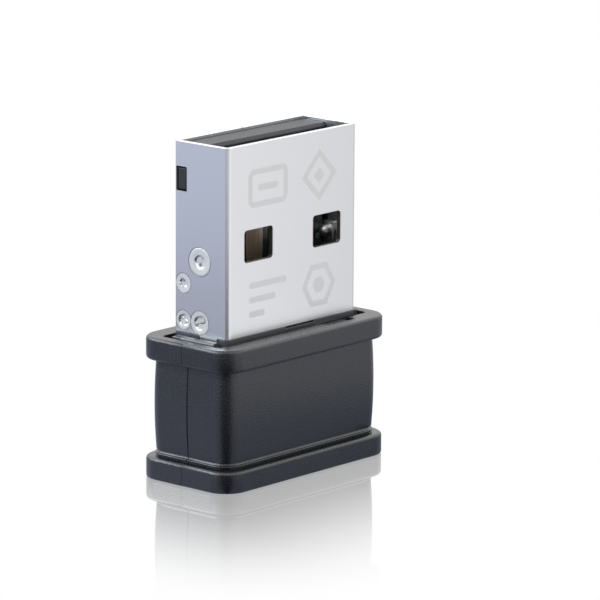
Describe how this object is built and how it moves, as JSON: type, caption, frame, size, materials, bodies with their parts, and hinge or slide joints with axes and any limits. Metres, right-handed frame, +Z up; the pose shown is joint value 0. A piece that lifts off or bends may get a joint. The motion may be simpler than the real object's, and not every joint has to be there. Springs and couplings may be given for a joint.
{
  "type": "usb wifi adapter",
  "caption": "Nano wireless adapter: a flat metal USB-A plug standing in a small black waisted grip, with its circuit board inside the plug.",
  "frame": {"origin": "middle of the grip's bottom face", "axes": "+Z up along the plug towards its tip, +X across the plug's wide faces, +Y through the plug towards its seamed back; the face with the view of the contacts looks towards -Y"},
  "size_m": [0.0154, 0.0076, 0.0212],
  "materials": {
    "grip_plastic": "fine spark-eroded texture, matte black",
    "collar_plastic": "moulded, matte black",
    "carrier_plastic": "moulded, satin black",
    "shell_steel": "nickel-plated sheet, satin",
    "frame_steel": "nickel-plated sheet, satin",
    "weld_steel": "remelted steel with a bright crater",
    "board_laminate": "dark green solder mask over glass laminate",
    "contact_gold": "gold flash over nickel",
    "chip_epoxy": "moulded epoxy",
    "crystal_can": "metal lid on ceramic",
    "ferrite": "sintered ferrite",
    "filter_ceramic": "fired ceramic",
    "antenna_ceramic": "fired ceramic with printed silver",
    "capacitor_ceramic": "fired ceramic with tinned ends",
    "resistor_black": "glazed film with tinned ends",
    "solder": "bright reflowed solder",
    "led_resin": "diffused resin",
    "pipe_resin": "smoke-tinted clear resin"
  },
  "bodies": {
    "root": {"front_housing": "grip_plastic", "back_housing": "grip_plastic", "plug_collar": "collar_plastic", "plug_shell": "shell_steel", "ground_frame": "frame_steel", "laser_weld_spots": "weld_steel", "board_carrier": "carrier_plastic", "circuit_board": "board_laminate", "contact_vbus": "contact_gold", "contact_data_minus": "contact_gold", "contact_data_plus": "contact_gold", "contact_ground": "contact_gold", "wifi_chip": "chip_epoxy", "eeprom_chip": "chip_epoxy", "crystal": "crystal_can", "voltage_regulator": "chip_epoxy", "power_inductor": "ferrite", "rf_filter": "filter_ceramic", "chip_antenna": "antenna_ceramic", "ceramic_capacitors": "capacitor_ceramic", "chip_resistors": "resistor_black", "shell_solder_joints": "solder", "status_led": "led_resin", "light_pipe": "pipe_resin"}
  },
  "joints": []
}
